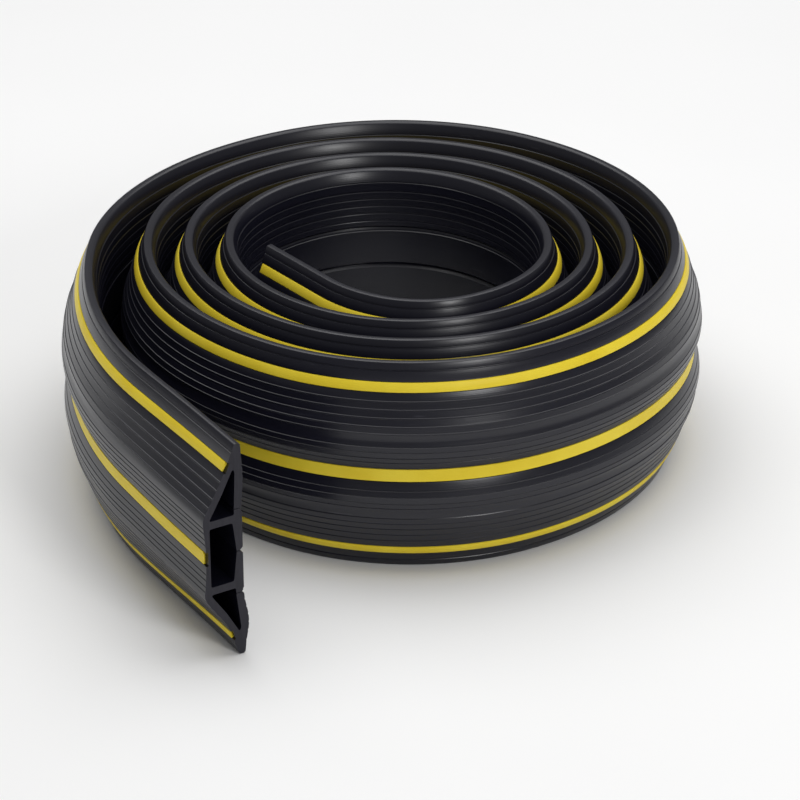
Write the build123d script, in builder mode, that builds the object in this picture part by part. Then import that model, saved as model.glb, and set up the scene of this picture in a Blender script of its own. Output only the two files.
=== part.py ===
from build123d import *
import math
import os

os.makedirs("parts", exist_ok=True)

# ---------------------------------------------------------------------------
# Floor cable protector: one flexible rubber strip with three cable channels
# and three coloured inlay stripes, wound into a coil that stands on its edge.
# Section sketches: x is the thickness above the slit base, y runs across the
# strip.  The base faces the inside of the coil and the hump faces outwards.
# ---------------------------------------------------------------------------

# strip section, in mm
strip_width = 130.0
strip_height = 24.0
hump_width = 47.0
hump_dip = 1.6
rim_thickness = 3.4
rim_round = 1.5
base_corner_round = 1.0
hump_corner_round = 2.0

# cable channels
hump_wall = 4.2
base_wall = 4.8
slit_lip = 3.8
centre_channel_width = 36.0
divider_thickness = 4.6
ramp_wall = 4.6
channel_round = 1.0

# cuts in the base that let a cable be pressed in
slit_width = 0.4
notch_width = 3.6
notch_depth = 1.8
side_notch_width = 2.4
side_notch_depth = 1.2
side_slit_from_divider = 3.4

# inlay stripes
centre_inlay_width = 7.8
side_inlay_width = 5.8
inlay_depth = 1.3
inlay_proud = 0.2
inlay_side_gap = 0.2
inlay_edge_distance = 12.9
inlay_setback = 1.5

# winding, from the outer end inwards
turn_gap = 0.6
turn_pitch = strip_height + turn_gap
tail_straight = 100.0
tail_radius = 302.0
tail_sweep = 34.0
arc_sweep = 60.0
arc_count = 22
oval_radii = (85.0, 107.0, 83.0)
outer_slack = (5.0, -6.0, 13.0, -1.0, -4.0, 30.0)
inner_radius = 57.0
inner_turn_sweep = 12.0
inner_end_radius = 75.0
inner_end_sweep = 28.0
inner_straight = 60.0

# stretches that bend when the free ends or the outer turn are moved
tail_flex_sweep = 18.0
outer_flex_sweep = 36.0
inner_flex_sweep = 40.0

# ------------------------------ strip section ------------------------------

half_width = strip_width / 2
half_hump = hump_width / 2
half_centre = centre_channel_width / 2
channel_top = strip_height - hump_wall
ramp_run = half_width - half_hump
ramp_rise = strip_height - rim_thickness
ramp_slope = math.degrees(math.atan2(ramp_run, ramp_rise))
side_foot = half_centre + divider_thickness
side_slit_at = side_foot + side_slit_from_divider
wall_shift = ramp_wall / math.sin(math.radians(ramp_slope))
side_apex = half_width - (base_wall + wall_shift - rim_thickness) * ramp_run / ramp_rise
side_top = half_width - (channel_top + wall_shift - rim_thickness) * ramp_run / ramp_rise
inlay_at = half_width - inlay_edge_distance
inlay_face = rim_thickness + inlay_edge_distance * ramp_rise / ramp_run
centre_groove_width = centre_inlay_width + 2 * inlay_side_gap
side_groove_width = side_inlay_width + 2 * inlay_side_gap
hump_face = strip_height - hump_dip

with BuildSketch() as centre_channel:
    with BuildLine():
        Polyline(
            (slit_lip, 0),
            (base_wall + 1, half_centre),
            (channel_top, half_centre),
            (channel_top, -half_centre),
            (base_wall + 1, -half_centre),
            close=True,
        )
    make_face()

with BuildSketch() as side_channel:
    with BuildLine():
        Polyline(
            (base_wall, side_foot),
            (base_wall, side_apex),
            (channel_top, max(side_top, side_foot + 1)),
            (channel_top, side_foot),
            close=True,
        )
    make_face()
    fillet(side_channel.vertices().filter_by_position(Axis.X, 0, base_wall + 1), channel_round)

with BuildSketch() as groove:
    with Locations(Location((inlay_face, inlay_at, 0), 90 - ramp_slope)):
        Rectangle(2 * inlay_depth, side_groove_width)

with BuildSketch() as strip_section:
    with BuildLine():
        Polyline(
            (strip_height, half_hump),
            (rim_thickness, half_width),
            (0, half_width),
            (0, -half_width),
            (rim_thickness, -half_width),
            (strip_height, -half_hump),
        )
        ThreePointArc((strip_height, -half_hump), (hump_face, 0), (strip_height, half_hump))
    make_face()
    fillet(strip_section.vertices().filter_by_position(Axis.X, -0.1, 0.1), base_corner_round)
    fillet(
        strip_section.vertices().filter_by_position(Axis.X, rim_thickness - 0.1, rim_thickness + 0.1),
        rim_round,
    )
    fillet(
        strip_section.vertices().filter_by_position(Axis.X, strip_height - 0.1, strip_height + 0.1),
        hump_corner_round,
    )
    add(centre_channel.sketch, mode=Mode.SUBTRACT)
    for side in (side_channel.sketch, groove.sketch):
        add(side, mode=Mode.SUBTRACT)
        add(mirror(side, about=Plane.XZ, mode=Mode.PRIVATE), mode=Mode.SUBTRACT)
    with Locations((hump_face, 0)):
        Rectangle(2 * inlay_depth, centre_groove_width, mode=Mode.SUBTRACT)
    with BuildLine():
        Polyline((0, notch_width / 2), (notch_depth, 0), (0, -notch_width / 2), close=True)
    make_face(mode=Mode.SUBTRACT)
    with Locations((strip_height / 4, 0)):
        Rectangle(strip_height / 2, slit_width, mode=Mode.SUBTRACT)
    for side in (1, -1):
        with BuildLine():
            Polyline(
                (0, side * side_slit_at + side_notch_width / 2),
                (side_notch_depth, side * side_slit_at),
                (0, side * side_slit_at - side_notch_width / 2),
                close=True,
            )
        make_face(mode=Mode.SUBTRACT)
        with Locations((base_wall / 2, side * side_slit_at)):
            Rectangle(base_wall + 1, slit_width, mode=Mode.SUBTRACT)

with BuildSketch() as centre_inlay:
    with Locations((hump_face - inlay_depth, 0)):
        Rectangle(inlay_depth + inlay_proud, centre_inlay_width, align=(Align.MIN, Align.CENTER))

with BuildSketch() as upper_inlay:
    with Locations(Location((inlay_face, inlay_at, 0), 90 - ramp_slope)):
        with Locations((-inlay_depth, 0)):
            Rectangle(inlay_depth + inlay_proud, side_inlay_width, align=(Align.MIN, Align.CENTER))

with BuildSketch() as lower_inlay:
    mirror(upper_inlay.sketch, about=Plane.XZ)

# ------------------------------ winding plan -------------------------------
# Each leg runs inwards from its outer end: a straight (radius 0, length) or an
# arc (radius, sweep) about a centre on the base side of the strip.

arc_radii = []
for k in range(arc_count):
    radius = oval_radii[k % 3] + (k // 3) * turn_pitch / 2
    late = k - (arc_count - len(outer_slack))
    if late >= 0:
        radius += outer_slack[late]
    arc_radii.append(radius)

outer_arc = arc_radii[21]
hinge_arc = arc_radii[20]
half_flex_rest = (arc_sweep - outer_flex_sweep) / 2

plan = {
    "tail": [(0, tail_straight), (tail_radius, tail_sweep - tail_flex_sweep)],
    "tail_flex": [(tail_radius, tail_flex_sweep)],
    "outer_turn": [(outer_arc, arc_sweep), (hinge_arc, half_flex_rest)],
    "outer_flex": [(hinge_arc, outer_flex_sweep)],
    "coil_turn_4": [(hinge_arc, half_flex_rest)] + [(arc_radii[k], arc_sweep) for k in (19, 18, 17, 16)],
    "coil_turn_3": [(arc_radii[k], arc_sweep) for k in range(15, 9, -1)],
    "coil_turn_2": [(arc_radii[k], arc_sweep) for k in range(9, 3, -1)],
    "coil_turn_1": [(arc_radii[k], arc_sweep) for k in range(3, -1, -1)] + [(inner_radius, inner_turn_sweep)],
    "inner_flex": [(inner_radius, inner_flex_sweep)],
    "inner_end": [(inner_end_radius, inner_end_sweep), (0, inner_straight)],
}


class Leg:
    """One straight or arc of the strip, from its outer end at (x, y) inwards."""

    def __init__(self, x, y, heading, radius, size):
        self.radius = radius
        self.size = size
        turn = math.radians(heading)
        self.out = (math.sin(turn), -math.cos(turn))
        self.back = (-math.cos(turn), -math.sin(turn))
        self.plane = Plane(
            origin=(x, y, half_width),
            x_dir=(self.out[0], self.out[1], 0),
            z_dir=(self.back[0], self.back[1], 0),
        )
        self.centre = (x - self.out[0] * radius, y - self.out[1] * radius)
        self.axis = Axis((self.centre[0], self.centre[1], 0), (0, 0, 1))
        if radius:
            self.end_heading = heading - size
            turn = math.radians(self.end_heading)
            self.end = (
                self.centre[0] + math.sin(turn) * radius,
                self.centre[1] - math.cos(turn) * radius,
            )
        else:
            self.end_heading = heading
            self.end = (x + self.back[0] * size, y + self.back[1] * size)


legs = {}
at = (0.0, 0.0)
heading = -90.0
for name, stretches in plan.items():
    legs[name] = []
    for radius, size in stretches:
        leg = Leg(at[0], at[1], heading, radius, size)
        legs[name].append(leg)
        at = leg.end
        heading = leg.end_heading

coil_names = ("coil_turn_4", "coil_turn_3", "coil_turn_2", "coil_turn_1")
legs["coil"] = [leg for name in coil_names for leg in legs[name]]
tail_start = legs["tail"][0]
short_tail = Leg(0, inlay_setback, -90, 0, tail_straight - inlay_setback)
last = legs["inner_end"][-1]
short_end = Leg(
    last.end[0] - last.back[0] * inner_straight,
    last.end[1] - last.back[1] * inner_straight,
    last.end_heading,
    0,
    inner_straight - inlay_setback,
)

inlay_legs = {
    "tail": [short_tail, legs["tail"][1]],
    "tail_flex": legs["tail_flex"],
    "outer_turn": legs["outer_turn"],
    "outer_flex": legs["outer_flex"],
    "coil": legs["coil"],
    "inner_flex": legs["inner_flex"],
    "inner_end": [legs["inner_end"][0], short_end],
}

# ------------------------------ the pieces ---------------------------------

pieces = [(name, strip_section, legs[name]) for name in plan]
for name, run in inlay_legs.items():
    pieces.append((name + "_inlay_upper", upper_inlay, run))
    pieces.append((name + "_inlay_centre", centre_inlay, run))
    pieces.append((name + "_inlay_lower", lower_inlay, run))

made = []
for name, section, run in pieces:
    with BuildPart() as piece:
        for leg in run:
            with BuildSketch(leg.plane):
                add(section.sketch)
            if leg.radius:
                revolve(axis=leg.axis, revolution_arc=-leg.size)
            else:
                extrude(amount=leg.size)
    piece.part.label = name
    made.append(piece)

# the origin is under the middle of the whole coil, on the floor
whole = Compound([piece.part for piece in made]).bounding_box()
shift = Location((-whole.center().X, -whole.center().Y, 0))
for piece in made:
    centred = piece.part.moved(shift)
    centred.label = piece.part.label
    export_step(centred, "parts/" + piece.part.label + ".step")

print("shift", shift.position)
print("box", whole.size)
length = sum(math.radians(leg.size) * leg.radius if leg.radius else leg.size
             for name in plan for leg in legs[name])
print("length of the strip", round(length))
for name in plan:
    first = legs[name][0]
    print(name, "outer end", first.plane.origin, "heading", first.end_heading)
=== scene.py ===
import math

import bmesh
import bpy
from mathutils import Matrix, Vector


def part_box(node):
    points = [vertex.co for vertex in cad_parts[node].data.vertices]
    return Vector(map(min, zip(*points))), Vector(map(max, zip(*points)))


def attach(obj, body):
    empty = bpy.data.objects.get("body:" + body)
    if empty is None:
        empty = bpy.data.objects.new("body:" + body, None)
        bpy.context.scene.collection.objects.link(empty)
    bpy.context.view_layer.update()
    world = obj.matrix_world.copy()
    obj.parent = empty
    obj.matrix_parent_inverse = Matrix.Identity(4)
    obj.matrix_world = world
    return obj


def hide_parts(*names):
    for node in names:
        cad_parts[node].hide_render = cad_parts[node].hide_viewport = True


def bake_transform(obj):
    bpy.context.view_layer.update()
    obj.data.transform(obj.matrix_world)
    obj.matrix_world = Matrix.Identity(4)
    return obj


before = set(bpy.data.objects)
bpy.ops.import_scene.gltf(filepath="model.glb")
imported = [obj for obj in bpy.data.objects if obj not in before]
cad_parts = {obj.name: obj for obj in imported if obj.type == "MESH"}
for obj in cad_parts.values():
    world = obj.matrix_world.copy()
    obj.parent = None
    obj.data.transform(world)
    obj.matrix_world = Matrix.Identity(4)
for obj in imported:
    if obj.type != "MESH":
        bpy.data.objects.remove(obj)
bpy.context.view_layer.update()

MM = 0.001

# ---------------------------------------------------------------------------
# Strip section.  "thick" is measured from the slit base outwards to the hump,
# "across" from the middle of the strip towards an edge, both in mm.
# ---------------------------------------------------------------------------
HALF_WIDTH = 65.0
HEIGHT = 24.0
HALF_HUMP = 23.5
DIP = 1.6  # how far the middle of the hump lies below its corners
RIM = 3.4  # thickness at the long edges
CHANNEL_TOP = 19.8
CENTRE_HALF = 18.0  # half the width of the centre channel
FOOT = 22.6  # where a side channel begins, beyond the divider
APEX = 51.8  # where it ends in a point
SLIT = 0.2  # half the width of a slit in the base
SIDE_SLIT = 26.0
INLAY_ACROSS = 52.1
SIDE_INLAY = 5.8
CENTRE_INLAY = 7.8
GROOVE_DEPTH = 1.3
GROOVE_GAP = 0.35
SLOPE = math.atan2(HEIGHT - RIM, HALF_WIDTH - HALF_HUMP)

# fine lines left by the die: height or depth, and places across the strip
RIB = 0.28
BASE_GROOVES = (31.0, 36.0, 41.0, 46.0, 51.0)
RAMP_RIBS = (44.5, 40.0, 35.5, 31.0, 27.0)
HUMP_GROOVES = (19.6, 16.4, 12.6, 9.0)
EDGE_GROOVE = 60.6

# how the section changes where it is wound, and at the free end
SAG = 3.8  # the roof of the centre channel sinks
CORNER = 2.2  # the corners of the hump round off
SWELL = 2.8  # the ramps bulge
SPLAY = 2.8  # the thin edges turn outwards
TUCK = 1.2  # all of it is pulled inwards
BOW = 2.6  # the flaps of the base bulge at the cut end
SAG_REACH = 15.0
CORNER_REACH = 4.0
SWELL_AT, SWELL_REACH = 52.0, 13.0
SPLAY_FROM, SPLAY_REACH = 50.0, 15.0
BOW_FROM, BOW_TO = 26.0, 64.0
LOWER_BOW = 0.4  # the bow of one flap as a share of the other's

# where along the strip those changes come in and the bow dies out
WOUND_FROM, WOUND_OVER = 30.0, 170.0
BOW_OVER = 90.0


def ramp(across):
    return RIM + (HALF_WIDTH - across) * math.tan(SLOPE)


def hump(across):
    return HEIGHT - DIP * (1.0 - (across / HALF_HUMP) ** 2)


def rib(across, height, half, surface, normal):
    """Four points of one rib (or groove, where height is below 0) running along the strip."""
    points = []
    for step, lift in ((half, 0.0), (half * 0.45, height), (-half * 0.45, height), (-half, 0.0)):
        a = across + step * normal[0]
        points.append((surface(a) + lift * normal[0], a + lift * normal[1]))
    return points


def half_section():
    """One half of the outline, from the centre channel's roof round to the middle of the hump."""
    ramp_normal = (math.cos(SLOPE), math.sin(SLOPE))
    flat = (1.0, 0.0)
    # centre channel, roof and wall
    pts = [(CHANNEL_TOP, 0.0), (CHANNEL_TOP, CENTRE_HALF - 1.0)]
    pts += [(CHANNEL_TOP - 0.3, CENTRE_HALF - 0.3), (CHANNEL_TOP - 1.0, CENTRE_HALF)]
    pts += [(7.2, CENTRE_HALF), (6.2, CENTRE_HALF - 0.3), (5.7, CENTRE_HALF - 1.2)]
    # slit and base up to the side slit
    pts += [(3.8, SLIT), (1.8, SLIT), (0.0, 1.8), (0.0, 12.0)]
    pts += [(0.0, SIDE_SLIT - 2.6), (0.5, SIDE_SLIT - 2.2)]
    pts += [(0.5, SIDE_SLIT - 1.2), (1.2, SIDE_SLIT - SLIT)]
    # side channel, all the way round
    pts += [(4.8, SIDE_SLIT - SLIT), (4.8, FOOT + 0.9), (5.1, FOOT + 0.3), (5.9, FOOT), (18.6, FOOT)]
    pts += [(19.5, FOOT + 0.3), (19.3, FOOT + 1.4), (12.3, 37.3), (7.2, APEX - 3.8), (6.2, APEX - 2.1)]
    pts += [(5.4, APEX - 2.0), (4.9, APEX - 2.8), (4.8, APEX - 4.2), (4.8, SIDE_SLIT + SLIT)]
    pts += [(1.2, SIDE_SLIT + SLIT), (0.0, SIDE_SLIT + 1.2)]
    # base and edge
    for a in BASE_GROOVES:
        for step, lift in ((-0.8, 0.0), (-0.35, RIB), (0.35, RIB), (0.8, 0.0)):
            pts.append((lift, a + step))
    pts += [(0.0, 56.5), (0.3, 57.0), (0.0, 57.5), (0.0, 63.6), (0.35, 64.5), (1.2, 65.0), (2.5, 65.0)]
    pts += [(3.4, 64.75), (4.1, 64.0)]
    pts += rib(EDGE_GROOVE, -RIB, 0.5, ramp, ramp_normal)
    # ramp with the groove of the side stripe
    for edge in (1, -1):
        a = INLAY_ACROSS + edge * (SIDE_INLAY / 2 + GROOVE_GAP) * math.cos(SLOPE)
        top = (ramp(a), a)
        low = tuple(top[i] - GROOVE_DEPTH * ramp_normal[i] for i in (0, 1))
        lip = (ramp(a + edge * 0.5), a + edge * 0.5)
        corner = [lip, (top[0] - 0.15, top[1]), low]
        pts += corner if edge == 1 else corner[::-1]
    for a in RAMP_RIBS:
        pts += rib(a, RIB, 0.6, ramp, ramp_normal)
    # hump with half the groove of the centre stripe
    pts += [(ramp(24.8) - 0.05, 24.8), (HEIGHT - 0.35, 23.6)]
    pts += [(hump(22.4) - 0.15, 22.4), (hump(21.2), 21.2)]
    for a in HUMP_GROOVES:
        pts += rib(a, -RIB, 0.4, hump, flat)
    a = CENTRE_INLAY / 2 + GROOVE_GAP
    pts += [(hump(a + 0.5), a + 0.5), (hump(a) - 0.15, a), (HEIGHT - DIP - GROOVE_DEPTH, a)]
    pts += [(HEIGHT - DIP - GROOVE_DEPTH, 0.0)]
    return pts


def strip_section():
    half = half_section()
    return half + [(t, -a) for t, a in reversed(half[1:-1])]


def wound(thick, across):
    """How far a point of the section moves outwards where the strip is wound: the roof of the
    centre channel sags, the ramps swell and the thin edges splay."""
    a = abs(across)
    skin = max(0.0, min(1.0, thick / min(HEIGHT, ramp(min(a, HALF_WIDTH)))))
    sag = -SAG * 0.5 * (1.0 + math.cos(math.pi * min(a / SAG_REACH, 1.0)))
    corner = -CORNER * math.exp(-((a - HALF_HUMP) / CORNER_REACH) ** 2)
    swell = SWELL * math.exp(-((a - SWELL_AT) / SWELL_REACH) ** 2)
    splay = SPLAY * max(0.0, (a - SPLAY_FROM) / SPLAY_REACH) ** 2
    return (sag + corner + swell) * skin + splay - TUCK


def relaxed(across):
    """How far a point moves inwards at the free cut end, where the flaps of the base bow out."""
    a = abs(across)
    if not BOW_FROM < a < BOW_TO:
        return 0.0
    height = BOW if across < 0 else LOWER_BOW * BOW
    return height * math.sin(math.pi * (a - BOW_FROM) / (BOW_TO - BOW_FROM)) ** 2


def inlay_section(width):
    """Outline of an inlay stripe about its own middle: (above the groove's floor, along the width)."""
    h, w = GROOVE_DEPTH + 0.25, width / 2
    return [(0.02, -w), (h - 0.5, -w), (h - 0.15, -w + 0.15), (h, -w + 0.6), (h + 0.05, 0.0),
            (h, w - 0.6), (h - 0.15, w - 0.15), (h - 0.5, w), (0.02, w)]


def centre_stripe():
    low = HEIGHT - DIP - GROOVE_DEPTH
    return [(low + t, a) for t, a in inlay_section(CENTRE_INLAY)]


def side_stripe(side):
    pts = []
    c, s = math.cos(SLOPE), math.sin(SLOPE)
    for t, a in inlay_section(SIDE_INLAY):
        t -= GROOVE_DEPTH
        pts.append((ramp(INLAY_ACROSS) + t * c - a * s, side * (INLAY_ACROSS + t * s + a * c)))
    return pts


# ---------------------------------------------------------------------------
# Winding, walked from the outer end inwards: (radius, degrees) or (0, length)
# ---------------------------------------------------------------------------
PITCH = 24.6
OVAL = (85.0, 107.0, 83.0)
SLACK = (5.0, -6.0, 13.0, -1.0, -4.0, 30.0)
ARC = 60.0  # sweep of one arc
TAIL_STRAIGHT, TAIL_RADIUS, TAIL_SWEEP = 100.0, 302.0, 34.0
INNER_RADIUS = 57.0
TAIL_FLEX, OUTER_FLEX, INNER_FLEX = 18.0, 36.0, 40.0  # sweeps of the bend zones
TURN_END = 12.0  # what each neighbour keeps of an arc that a bend zone is cut from


def arc_radius(k):
    slack = SLACK[k - 16] if k >= 16 else 0.0
    return OVAL[k % 3] + (k // 3) * PITCH / 2 + slack


ARCS = [arc_radius(k) for k in range(22)]
PLAN = [
    ("tail", [(0, TAIL_STRAIGHT), (TAIL_RADIUS, TAIL_SWEEP)]),
    ("outer_turn", [(ARCS[21], ARC), (ARCS[20], TURN_END + OUTER_FLEX)]),
    ("coil_turn_4", [(ARCS[20], TURN_END)] + [(ARCS[k], ARC) for k in (19, 18, 17, 16)]),
    ("coil_turn_3", [(ARCS[k], ARC) for k in range(15, 9, -1)]),
    ("coil_turn_2", [(ARCS[k], ARC) for k in range(9, 3, -1)]),
    ("coil_turn_1", [(ARCS[k], ARC) for k in range(3, -1, -1)] + [(INNER_RADIUS, TURN_END)]),
    ("inner_end", [(INNER_RADIUS, INNER_FLEX), (75.0, 28.0), (0, 60.0)]),
]
tail_low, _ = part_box("tail")
START = (tail_low.x / MM + HEIGHT, tail_low.y / MM)
BOTTOM = tail_low.z
HEADING = math.radians(-90.0)


class Walk:
    """Where the strip is: a point on its base, the way it points and the length so far."""

    def __init__(self, x, y, heading, along):
        self.x, self.y, self.heading, self.along = x, y, heading, along

    def out(self):
        return math.sin(self.heading), -math.cos(self.heading)

    def back(self):
        return -math.cos(self.heading), -math.sin(self.heading)


def walk_leg(at, radius, size):
    ox, oy = at.out()
    bx, by = at.back()
    if not radius:
        return Walk(at.x + bx * size, at.y + by * size, at.heading, at.along + size)
    turn = math.radians(size)
    cx, cy = at.x - ox * radius, at.y - oy * radius
    new = Walk(0, 0, at.heading - turn, at.along + turn * radius)
    ox, oy = new.out()
    new.x, new.y = cx + ox * radius, cy + oy * radius
    return new


def ease(x):
    x = min(max(x, 0.0), 1.0)
    return x * x * (3.0 - 2.0 * x)


def strip(name, section, legs, start, caps, rounding=0.0):
    """A length of strip: its outline spun about each arc's centre and pushed along each straight."""
    bm = bmesh.new()
    along = bm.verts.layers.float.new("along")
    across = bm.verts.layers.float.new("across")
    swell = bm.verts.layers.float.new("swell")
    bow = bm.verts.layers.float.new("bow")
    facing = bm.verts.layers.float_vector.new("facing")
    ox, oy = start.out()
    ring = []
    run = 0.0
    previous = None
    for t, a in section:
        height = BOTTOM + (HALF_WIDTH + a) * MM
        v = bm.verts.new(((start.x + ox * t) * MM, (start.y + oy * t) * MM, height))
        run += math.hypot(t - previous[0], a - previous[1]) if previous else 0.0
        previous = (t, a)
        v[across] = run * MM
        v[along] = start.along * MM
        v[swell] = wound(t, a) * MM
        v[bow] = relaxed(a) * MM
        v[facing] = (ox, oy, 0.0)
        ring.append(v)
    edges = [bm.edges.new((ring[i], ring[(i + 1) % len(ring)])) for i in range(len(ring))]
    first = list(edges)
    geom = ring + edges
    at = start
    for radius, size in legs:
        ox, oy = at.out()
        bx, by = at.back()
        before = len(bm.verts)
        if radius:
            centre = Vector(((at.x - ox * radius) * MM, (at.y - oy * radius) * MM, 0))
            steps = max(2, round(size / (1.0 if radius > 250 else 2.5)))
            made = bmesh.ops.spin(bm, geom=geom, cent=centre, axis=(0, 0, 1), dvec=(0, 0, 0),
                                  angle=-math.radians(size), steps=steps, use_merge=False)
        else:
            steps = max(2, round(size / 4.0))
            made = bmesh.ops.spin(bm, geom=geom, cent=(0, 0, 0), axis=(0, 0, 1),
                                  dvec=(bx * size * MM / steps, by * size * MM / steps, 0), angle=0.0,
                                  steps=steps, use_merge=False)
        geom = made["geom_last"]
        bm.verts.index_update()
        for v in bm.verts:
            if v.index < before:
                continue
            px, py = v.co.x / MM, v.co.y / MM
            if radius:
                cx, cy = at.x - ox * radius, at.y - oy * radius
                heading = math.atan2(px - cx, -(py - cy))
                v[along] = (at.along + (at.heading - heading) % (2 * math.pi) * radius) * MM
                v[facing] = (math.sin(heading), -math.cos(heading), 0.0)
            else:
                v[along] = (at.along + (px - at.x) * bx + (py - at.y) * by) * MM
                v[facing] = (ox, oy, 0.0)
        at = walk_leg(at, radius, size)
    middle = sum(a for _, a in section) / len(section)
    half = max(abs(a - middle) for _, a in section)
    bx, by = start.back()
    for v, (_, a) in zip(ring, section):
        cut_back = rounding * (abs(a - middle) / half) ** 4
        v.co += Vector((bx, by, 0.0)) * cut_back * MM
    for v in bm.verts:
        share = ease((v[along] / MM - WOUND_FROM) / WOUND_OVER)
        free = 1.0 - ease(v[along] / MM / BOW_OVER)
        v.co += v[facing] * (v[swell] * share - v[bow] * free)
    last = [g for g in geom if isinstance(g, bmesh.types.BMEdge)]
    for loop, cap in ((first, caps[0]), (last, caps[1])):
        face = bmesh.ops.contextual_create(bm, geom=loop)["faces"]
        for f in face:
            f.material_index = 1 if cap else 0
            f.normal_update()
    bmesh.ops.recalc_face_normals(bm, faces=bm.faces)
    mesh = bpy.data.meshes.new(name)
    bm.to_mesh(mesh)
    bm.free()
    for polygon in mesh.polygons:
        polygon.use_smooth = True
    mesh.set_sharp_from_angle(angle=math.radians(32))
    piece = bpy.data.objects.new(name, mesh)
    bpy.context.scene.collection.objects.link(piece)
    return piece, at


# ---------------------------------------------------------------------------
# Materials
# ---------------------------------------------------------------------------
def linear(code):
    """A linear colour from an sRGB hex code."""
    values = [int(code[i:i + 2], 16) / 255.0 for i in (1, 3, 5)]
    return [v / 12.92 if v <= 0.04045 else ((v + 0.055) / 1.055) ** 2.4 for v in values] + [1.0]


def node(tree, kind, settings=None, links=None):
    """Adds a node, sets its properties and input values ("in:" and a name, or a number),
    and links its inputs."""
    made = tree.nodes.new(kind)
    for key, value in (settings or {}).items():
        if isinstance(key, int):
            made.inputs[key].default_value = value
        elif key.startswith("in:"):
            made.inputs[key[3:]].default_value = value
        else:
            setattr(made, key, value)
    for key, source in (links or {}).items():
        tree.links.new(source, made.inputs[key])
    return made


def new_material(name):
    material = bpy.data.materials.new(name)
    material.use_nodes = True
    tree = material.node_tree
    tree.nodes.clear()
    shader = tree.nodes.new("ShaderNodeBsdfPrincipled")
    output = tree.nodes.new("ShaderNodeOutputMaterial")
    tree.links.new(shader.outputs["BSDF"], output.inputs["Surface"])
    return material, tree, shader


def ramp_node(tree, source, stops):
    made = node(tree, "ShaderNodeValToRGB", None, {"Fac": source})
    ramp_data = made.color_ramp
    ramp_data.elements[0].position, ramp_data.elements[0].color = stops[0]
    ramp_data.elements[1].position, ramp_data.elements[1].color = stops[-1]
    for position, colour in stops[1:-1]:
        element = ramp_data.elements.new(position)
        element.color = colour
    return made


def strip_coordinates(tree, length_scale, cross_scale):
    """A vector along the strip (X) and across its surface (Y), in metres times the scales."""
    scaled = []
    for layer, scale in (("along", length_scale), ("across", cross_scale)):
        place = node(tree, "ShaderNodeAttribute", {"attribute_name": layer})
        scaled.append(node(tree, "ShaderNodeMath", {"operation": "MULTIPLY", 1: scale},
                           {0: place.outputs["Fac"]}).outputs[0])
    return node(tree, "ShaderNodeCombineXYZ", None, {"X": scaled[0], "Y": scaled[1]})


def noise(tree, source, scale, detail=2.0):
    return node(tree, "ShaderNodeTexNoise", {"in:Scale": scale, "in:Detail": detail}, {"Vector": source})


MIX_A, MIX_B, MIX_RESULT = 6, 7, 2  # the colour sockets of a Mix node


# extruded black rubber of the strip: satin, with fine die lines along its length
rubber, tree, shader = new_material("extruded_rubber")
die = strip_coordinates(tree, 6.0, 2600.0)
die_lines = noise(tree, die.outputs[0], 1.0)
streak = strip_coordinates(tree, 3.0, 260.0)
streaks = noise(tree, streak.outputs[0], 1.0, 3.0)
place = node(tree, "ShaderNodeTexCoord")
cloud = noise(tree, place.outputs["Object"], 14.0, 4.0)
grain = noise(tree, place.outputs["Object"], 2200.0)
colour = ramp_node(tree, cloud.outputs["Fac"], [(0.3, linear("#0B0B14")), (0.7, linear("#11111C"))])
tint = node(tree, "ShaderNodeMix", {"data_type": "RGBA", MIX_B: linear("#161622")},
            {"Factor": streaks.outputs["Fac"], MIX_A: colour.outputs["Color"]})
scuff_at = strip_coordinates(tree, 45.0, 420.0)
scuffs = noise(tree, scuff_at.outputs[0], 1.0, 5.0)
scuff = ramp_node(tree, scuffs.outputs["Fac"], [(0.66, (0, 0, 0, 1)), (0.76, (0.5, 0.5, 0.5, 1))])
worn = node(tree, "ShaderNodeMix", {"data_type": "RGBA", MIX_B: linear("#3A3A42")},
            {"Factor": scuff.outputs["Color"], MIX_A: tint.outputs[MIX_RESULT]})
tree.links.new(worn.outputs[MIX_RESULT], shader.inputs["Base Color"])
rough = node(tree, "ShaderNodeMapRange", {"in:To Min": 0.24, "in:To Max": 0.36},
             {"Value": streaks.outputs["Fac"]})
tree.links.new(rough.outputs[0], shader.inputs["Roughness"])
shader.inputs["Specular IOR Level"].default_value = 0.5
bump = node(tree, "ShaderNodeBump", {"in:Strength": 0.18, "in:Distance": 0.0002},
            {"Height": die_lines.outputs["Fac"]})
fine_bump = node(tree, "ShaderNodeBump", {"in:Strength": 0.1, "in:Distance": 0.0001},
                 {"Height": grain.outputs["Fac"], "Normal": bump.outputs[0]})
tree.links.new(fine_bump.outputs[0], shader.inputs["Normal"])

# the same rubber where it was cut with a blade: matte and a little lighter, with blade marks
cut, tree, shader = new_material("cut_rubber")
place = node(tree, "ShaderNodeTexCoord")
stretch = node(tree, "ShaderNodeMapping", {"in:Scale": (900.0, 900.0, 90.0)},
               {"Vector": place.outputs["Object"]})
marks = noise(tree, stretch.outputs[0], 1.0, 3.0)
colour = ramp_node(tree, marks.outputs["Fac"], [(0.3, linear("#1A1922")), (0.7, linear("#24232C"))])
tree.links.new(colour.outputs["Color"], shader.inputs["Base Color"])
shader.inputs["Roughness"].default_value = 0.75
bump = node(tree, "ShaderNodeBump", {"in:Strength": 0.25, "in:Distance": 0.0002},
            {"Height": marks.outputs["Fac"]})
tree.links.new(bump.outputs[0], shader.inputs["Normal"])

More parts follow.
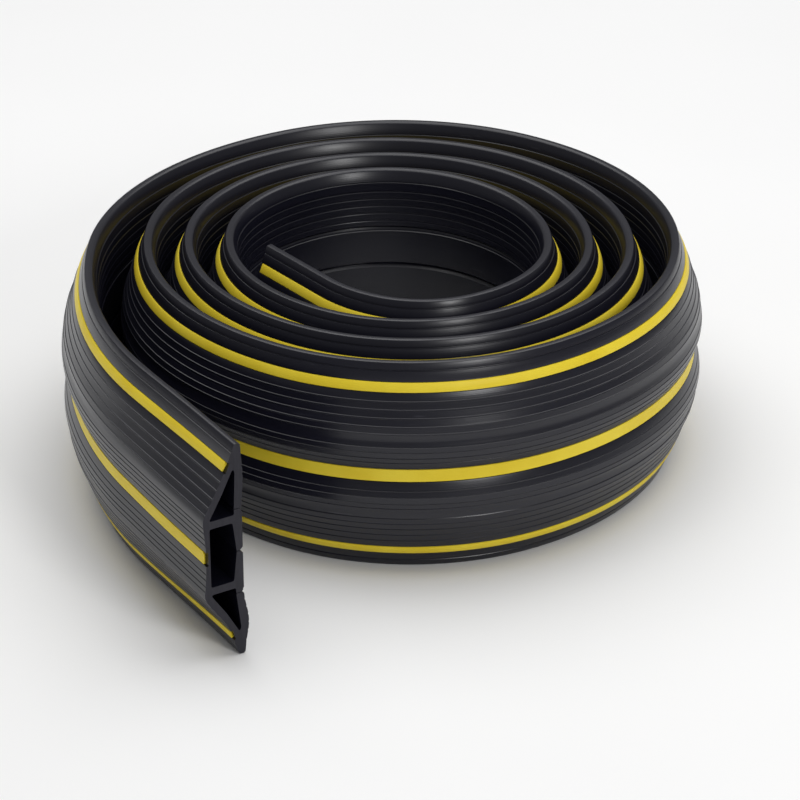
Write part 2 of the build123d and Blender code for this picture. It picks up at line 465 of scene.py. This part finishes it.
# flexible PVC of the inlay stripes: bright, smooth, slightly uneven in colour
pvc, tree, shader = new_material("pvc_inlay")
place = node(tree, "ShaderNodeTexCoord")
cloud = noise(tree, place.outputs["Object"], 30.0, 4.0)
line = strip_coordinates(tree, 4.0, 1500.0)
lines = noise(tree, line.outputs[0], 1.0)
colour = ramp_node(tree, cloud.outputs["Fac"], [(0.3, linear("#E8CC2E")), (0.7, linear("#F2DA40"))])
tree.links.new(colour.outputs["Color"], shader.inputs["Base Color"])
rough = node(tree, "ShaderNodeMapRange", {"in:To Min": 0.35, "in:To Max": 0.5},
             {"Value": lines.outputs["Fac"]})
tree.links.new(rough.outputs[0], shader.inputs["Roughness"])
shader.inputs["Specular IOR Level"].default_value = 0.2
bump = node(tree, "ShaderNodeBump", {"in:Strength": 0.1, "in:Distance": 0.0001},
            {"Height": lines.outputs["Fac"]})
tree.links.new(bump.outputs[0], shader.inputs["Normal"])

# ---------------------------------------------------------------------------
# The pieces
# ---------------------------------------------------------------------------
SETBACK = 1.5  # how far the stripes end short of the cut faces
ROUNDED = 1.6  # how far the corners of a stripe's outer end are cut back
section = strip_section()
stripes = (("upper", side_stripe(1)), ("centre", centre_stripe()), ("lower", side_stripe(-1)))
pieces = {}
at = Walk(*START, HEADING, 0.0)
for name, legs in PLAN:
    caps = (name == "tail", name == "inner_end")
    piece, after = strip(name + "_strip", section, legs, at, caps)
    for material in (rubber, cut):
        piece.data.materials.append(material)
    pieces[name] = piece
    for label, outline in stripes:
        begin, inlay_legs = at, list(legs)
        if name == "tail":
            begin = walk_leg(at, 0, SETBACK)
            inlay_legs[0] = (0, legs[0][1] - SETBACK)
        if name == "inner_end":
            inlay_legs[-1] = (0, legs[-1][1] - SETBACK)
        rounding = ROUNDED if name == "tail" else 0.0
        stripe, _ = strip(name + "_stripe_" + label, outline, inlay_legs, begin, (False, False), rounding)
        stripe.data.materials.append(pvc)
        pieces[name + "_" + label] = stripe
    at = after


def ends_of(first, second):
    """The strip's place after the first leg and after the second, from the outer end inwards."""
    walks = []
    at = Walk(*START, HEADING, 0.0)
    for legs in (first, second):
        for leg in legs:
            at = walk_leg(at, *leg)
        walks.append(at)
    return walks


tail_legs, outer_legs = PLAN[0][1], PLAN[1][1]
tail_zone = ends_of([tail_legs[0], (TAIL_RADIUS, TAIL_SWEEP - TAIL_FLEX)], [(TAIL_RADIUS, TAIL_FLEX)])
outer_zone = ends_of(tail_legs + [outer_legs[0], (ARCS[20], TURN_END)], [(ARCS[20], OUTER_FLEX)])
to_inner = [leg for name, legs in PLAN[:-1] for leg in legs]
inner_zone = ends_of(to_inner, [(INNER_RADIUS, INNER_FLEX)])

joined = {
    "tail": ("outer_turn", "tail", tail_zone[1], tail_zone[0]),
    "outer_turn": ("coil", "outer_turn", outer_zone[1], outer_zone[0]),
    "inner_end": ("coil", "inner_end", inner_zone[0], inner_zone[1]),
}
stands_for = {"tail": ["tail", "tail_flex"], "outer_turn": ["outer_turn", "outer_flex"],
              "inner_end": ["inner_end", "inner_flex"]}
for name, _ in PLAN:
    for label in ("", "upper", "centre", "lower"):
        piece = pieces[name + ("_" + label if label else "")]
        if name in joined:
            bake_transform(piece)
            nodes = [n + ("_inlay_" + label if label else "") for n in stands_for[name]]
            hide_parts(*nodes)
        else:
            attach(piece, "coil")
            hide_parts("coil_inlay_" + label if label else name)

# ---------------------------------------------------------------------------
# Floor, light and camera
# ---------------------------------------------------------------------------
floor_mesh = bpy.data.meshes.new("floor")
bm = bmesh.new()
bmesh.ops.create_grid(bm, x_segments=1, y_segments=1, size=6.0)
bmesh.ops.translate(bm, verts=bm.verts, vec=(0, 0, BOTTOM - 0.0002))
bm.to_mesh(floor_mesh)
bm.free()
floor = bpy.data.objects.new("floor", floor_mesh)
bpy.context.scene.collection.objects.link(floor)
paper, tree, shader = new_material("white_floor")
place = node(tree, "ShaderNodeTexCoord")
cloud = node(tree, "ShaderNodeTexNoise", {"in:Scale": 3.0}, {"Vector": place.outputs["Object"]})
colour = ramp_node(tree, cloud.outputs["Fac"], [(0.2, linear("#F4F4F4")), (0.8, linear("#F7F7F7"))])
tree.links.new(colour.outputs["Color"], shader.inputs["Base Color"])
shader.inputs["Roughness"].default_value = 0.9
floor_mesh.materials.append(paper)

world = bpy.data.worlds.new("studio")
bpy.context.scene.world = world
world.use_nodes = True
world.node_tree.nodes["Background"].inputs["Color"].default_value = (1.0, 1.0, 1.0, 1.0)
world.node_tree.nodes["Background"].inputs["Strength"].default_value = 0.22


def area_light(name, place, target, size, power):
    light = bpy.data.lights.new(name, "AREA")
    light.shape = "RECTANGLE"
    light.size, light.size_y = size
    light.energy = power
    lamp = bpy.data.objects.new(name, light)
    lamp.location = place
    lamp.rotation_euler = (Vector(target) - Vector(place)).to_track_quat("-Z", "Y").to_euler()
    bpy.context.scene.collection.objects.link(lamp)


YAW = math.radians(-31.632)  # of the camera
COIL_MIDDLE = (0.017, 0.004)


def seen(right, away, up):
    """A place given as right of, beyond and above the coil's middle, as the camera sees it."""
    c, s = math.cos(YAW), math.sin(YAW)
    return (COIL_MIDDLE[0] + right * c - away * s, COIL_MIDDLE[1] + right * s + away * c, up)


area_light("softbox", seen(0.8, -1.4, 0.95), (0.0, 0.0, 0.08), (0.38, 0.42), 8.0)
area_light("overhead", seen(0.0, 0.5, 1.9), (0.0, 0.0, 0.0), (3.0, 2.4), 46.0)

camera_data = bpy.data.cameras.new("camera")
camera_data.lens = 135.0
camera_data.sensor_width = 36.0
camera_data.clip_start = 0.05
camera_data.clip_end = 50.0
camera = bpy.data.objects.new("camera", camera_data)
camera.location = (-0.84624, -1.41538, 0.87936)
camera.rotation_euler = (math.radians(62.5), 0.0, YAW)
bpy.context.scene.collection.objects.link(camera)
bpy.context.scene.camera = camera
bpy.context.scene.view_settings.view_transform = "Standard"
